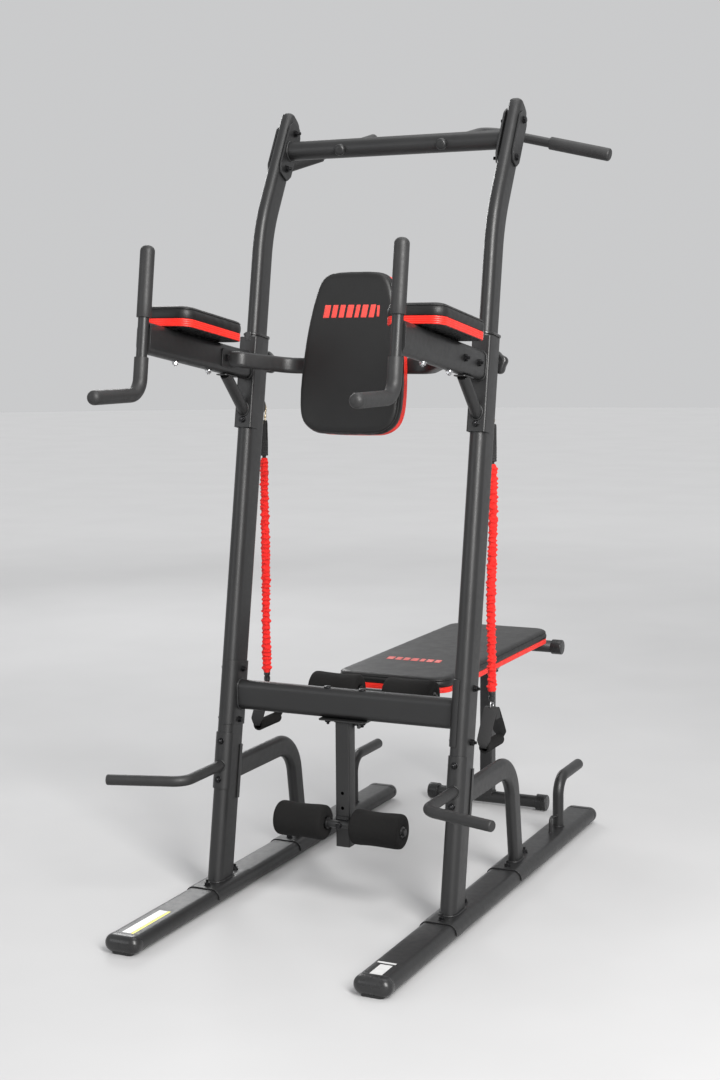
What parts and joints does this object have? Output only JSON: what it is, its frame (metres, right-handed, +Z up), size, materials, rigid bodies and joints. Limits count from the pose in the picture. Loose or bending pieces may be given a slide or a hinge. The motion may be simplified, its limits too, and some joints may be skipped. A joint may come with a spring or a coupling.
{
  "type": "power_tower",
  "caption": "Power tower with padded forearm rests, dip and pull-up handles, backrest, push-up bars, foam rollers, hinged sit-up bench and hanging elastic bands",
  "frame": {"origin": "centre of the bounding box in plan, on the floor plane under the feet", "axes": "+X to the right of a person looking at the front of the tower from the forearm handles, +Y from the forearm handles towards the bench, +Z up"},
  "size_m": [1.0692, 1.8568, 2.1066],
  "materials": {
    "frame_steel": "satin charcoal powder coat",
    "black_plastic": "moulded black, slightly glossy",
    "grip_rubber": "matte",
    "roller_foam": "matte closed-cell foam",
    "pad_vinyl": "fine-grained vinyl with a red ribbed side band",
    "plated_hardware": "zinc plated",
    "band_sleeve": "red gathered sleeve over elastic"
  },
  "bodies": {
    "frame": {"backrest_bar": "frame_steel", "backrest_pad": "pad_vinyl", "bench_pivot_pin": "plated_hardware", "crossbar": "frame_steel", "left_arch_brace": "frame_steel", "left_arm": "frame_steel", "left_arm_bracket": "frame_steel", "left_arm_front_bolt": "plated_hardware", "left_arm_pad": "pad_vinyl", "left_arm_rear_bolt": "plated_hardware", "left_base_front_cap": "black_plastic", "left_base_rear_cap": "black_plastic", "left_base_tube": "frame_steel", "left_dip_grip": "grip_rubber", "left_lower_upright": "frame_steel", "left_pushup_bar": "frame_steel", "left_upper_grip": "grip_rubber", "left_upright_bush": "black_plastic", "lower_roller_axle": "plated_hardware", "right_arch_brace": "frame_steel", "right_arm": "frame_steel", "right_arm_bracket": "frame_steel", "right_arm_front_bolt": "plated_hardware", "right_arm_pad": "pad_vinyl", "right_arm_rear_bolt": "plated_hardware", "right_base_front_cap": "black_plastic", "right_base_rear_cap": "black_plastic", "right_base_tube": "frame_steel", "right_dip_grip": "grip_rubber", "right_lower_upright": "frame_steel", "right_pushup_bar": "frame_steel", "right_upper_grip": "grip_rubber", "right_upright_bush": "black_plastic", "roller_post": "frame_steel"},
    "upper_frame": {"pull_up_bar": "frame_steel", "left_upper_upright": "frame_steel", "right_upper_upright": "frame_steel", "left_rear_grip": "grip_rubber", "right_rear_grip": "grip_rubber", "left_backing_plate": "frame_steel", "right_backing_plate": "frame_steel"},
    "left_knob": {"left_height_knob": "black_plastic"},
    "left_low_roller": {"left_lower_roller": "roller_foam"},
    "left_top_roller": {"left_bench_roller": "roller_foam"},
    "left_band_set": {"left_band": "band_sleeve", "left_band_handle": "grip_rubber"},
    "right_knob": {"right_height_knob": "black_plastic"},
    "right_low_roller": {"right_lower_roller": "roller_foam"},
    "right_top_roller": {"right_bench_roller": "roller_foam"},
    "right_band_set": {"right_band": "band_sleeve", "right_band_handle": "grip_rubber"},
    "bench": {"bench_beam": "frame_steel", "bench_pad": "pad_vinyl", "bench_leg_pin": "plated_hardware", "left_bench_bar_cap": "black_plastic", "right_bench_bar_cap": "black_plastic"},
    "leg": {"bench_leg": "frame_steel", "left_bench_foot_cap": "black_plastic", "right_bench_foot_cap": "black_plastic"}
  },
  "joints": [
    {"name": "height_adjust", "type": "slide", "parent": "frame", "child": "upper_frame", "axis": [0, 0.169, 0.9856], "range_m": [-0.2, 0]},
    {"name": "left_knob_turn", "type": "hinge", "parent": "frame", "child": "left_knob", "pos_m": [-0.335, -0.07236, 1.42168], "axis": [0, 0.9856, -0.169], "continuous": true},
    {"name": "left_low_roller_spin", "type": "hinge", "parent": "frame", "child": "left_low_roller", "pos_m": [-0.11, -0.31809, 0.222], "axis": [1, 0, 0], "continuous": true},
    {"name": "left_top_roller_spin", "type": "hinge", "parent": "bench", "child": "left_top_roller", "pos_m": [-0.11, -0.10548, 0.533], "axis": [1, 0, 0], "continuous": true},
    {"name": "left_band_swing", "type": "hinge", "parent": "frame", "child": "left_band_set", "pos_m": [-0.335, -0.08908, 1.3008], "axis": [1, 0, 0], "range_deg": [-6, 60]},
    {"name": "right_knob_turn", "type": "hinge", "parent": "frame", "child": "right_knob", "pos_m": [0.335, -0.07236, 1.42168], "axis": [0, 0.9856, -0.169], "continuous": true},
    {"name": "right_low_roller_spin", "type": "hinge", "parent": "frame", "child": "right_low_roller", "pos_m": [0.11, -0.31809, 0.222], "axis": [1, 0, 0], "continuous": true},
    {"name": "right_top_roller_spin", "type": "hinge", "parent": "bench", "child": "right_top_roller", "pos_m": [0.11, -0.10548, 0.533], "axis": [1, 0, 0], "continuous": true},
    {"name": "right_band_swing", "type": "hinge", "parent": "frame", "child": "right_band_set", "pos_m": [0.335, -0.08908, 1.3008], "axis": [1, 0, 0], "range_deg": [-6, 60]},
    {"name": "bench_tilt", "type": "hinge", "parent": "frame", "child": "bench", "pos_m": [0, -0.23349, 0.4937], "axis": [1, 0, 0], "range_deg": [0, 60]},
    {"name": "bench_leg_fold", "type": "hinge", "parent": "bench", "child": "leg", "pos_m": [0, 0.76952, 0.448], "axis": [-1, 0, 0], "range_deg": [0, 85]}
  ]
}
